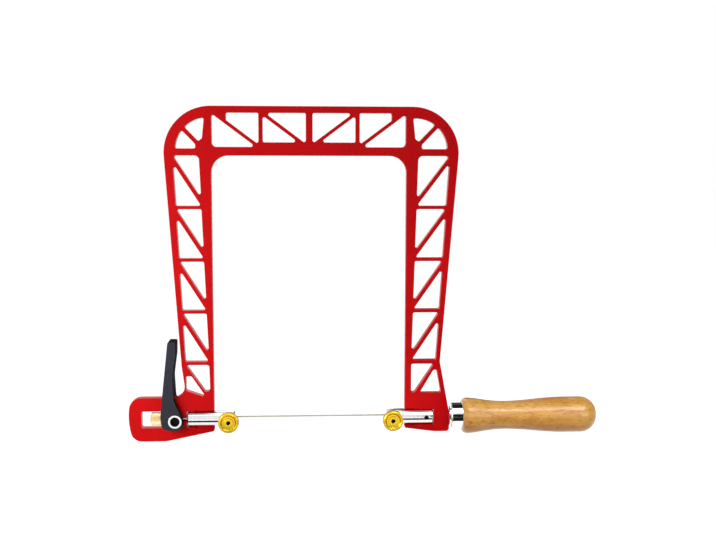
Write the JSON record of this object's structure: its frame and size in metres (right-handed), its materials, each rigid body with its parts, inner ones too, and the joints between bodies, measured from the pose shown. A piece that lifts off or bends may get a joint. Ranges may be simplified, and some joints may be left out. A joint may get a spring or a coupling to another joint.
{
  "type": "fret saw",
  "caption": "Fret saw with a pierced plate frame, swivelling blade clamps, a cam lever and nut that tension the blade, and a turned wooden handle.",
  "frame": {"origin": "on the blade line, halfway across the throat and in the middle of the frame plate", "axes": "+X along the blade towards the handle, +Z from the blade to the spine, the front with the knobs faces -Y"},
  "size_m": [0.3665, 0.0281, 0.2574],
  "materials": {
    "red_anodised": "glossy red anodised plate",
    "black_anodised": "satin black anodised",
    "varnished_wood": "clear varnish over honey-brown hardwood",
    "chrome": "bright chrome plate",
    "polished_steel": "mirror-polished steel",
    "bright_steel": "bright plated steel",
    "steel": "plain turned steel",
    "black_oxide": "black oxide",
    "blade_steel": "hardened spring steel",
    "brass": "machined and knurled brass"
  },
  "bodies": {
    "frame": {"frame_plate": "red_anodised", "handle": "varnished_wood", "ferrule": "chrome", "handle_stud": "steel", "pivot_screw": "bright_steel", "pivot_nut": "bright_steel", "pivot_washer": "bright_steel"},
    "lever": {"cam_lever": "black_anodised"},
    "thrust": {"thrust_block": "steel"},
    "nut": {"tension_nut": "brass"},
    "stud": {"tension_stud": "steel"},
    "front_clamp": {"front_clamp_rod": "polished_steel", "front_swivel_collar": "steel"},
    "front_knob": {"front_clamp_screw": "brass", "front_clamp_knob": "brass"},
    "rear_clamp": {"rear_clamp_rod": "polished_steel", "rear_swivel_collar": "steel", "rear_set_screw": "black_oxide", "blade": "blade_steel"},
    "rear_knob": {"rear_clamp_screw": "brass", "rear_clamp_knob": "brass"}
  },
  "joints": [
    {"name": "lever_flip", "type": "hinge", "parent": "frame", "child": "lever", "pos_m": [-0.1036, 0, 0], "axis": [0, -1, 0], "range_deg": [0, 90]},
    {"name": "thrust_slide", "type": "slide", "parent": "frame", "child": "thrust", "axis": [1, 0, 0], "range_m": [0, 0.0012]},
    {"name": "nut_turn", "type": "hinge", "parent": "thrust", "child": "nut", "pos_m": [-0.119, 0, 0], "axis": [1, 0, 0], "range_deg": [-1440, 180]},
    {"name": "stud_feed", "type": "slide", "parent": "thrust", "child": "stud", "axis": [1, 0, 0], "range_m": [-0.00035, 0.0028]},
    {"name": "rear_swivel", "type": "hinge", "parent": "frame", "child": "rear_clamp", "pos_m": [0.09, 0, 0], "axis": [1, 0, 0], "range_deg": [-45, 45]},
    {"name": "front_swivel", "type": "hinge", "parent": "stud", "child": "front_clamp", "pos_m": [-0.09, 0, 0], "axis": [1, 0, 0], "range_deg": [-45.2, 45.2]},
    {"name": "front_knob_turn", "type": "hinge", "parent": "front_clamp", "child": "front_knob", "pos_m": [-0.0628, 0, -0.0012], "axis": [0, -1, 0], "range_deg": [0, 360]},
    {"name": "rear_knob_turn", "type": "hinge", "parent": "rear_clamp", "child": "rear_knob", "pos_m": [0.0645, 0, -0.0012], "axis": [0, -1, 0], "range_deg": [0, 360]}
  ],
  "couplings": [
    {"joint": "lever_flip", "follows": "thrust_slide", "rad_per_m": 1309},
    {"joint": "nut_turn", "follows": "stud_feed", "rad_per_m": -8975.9},
    {"joint": "front_swivel", "follows": "rear_swivel", "ratio": 1}
  ]
}
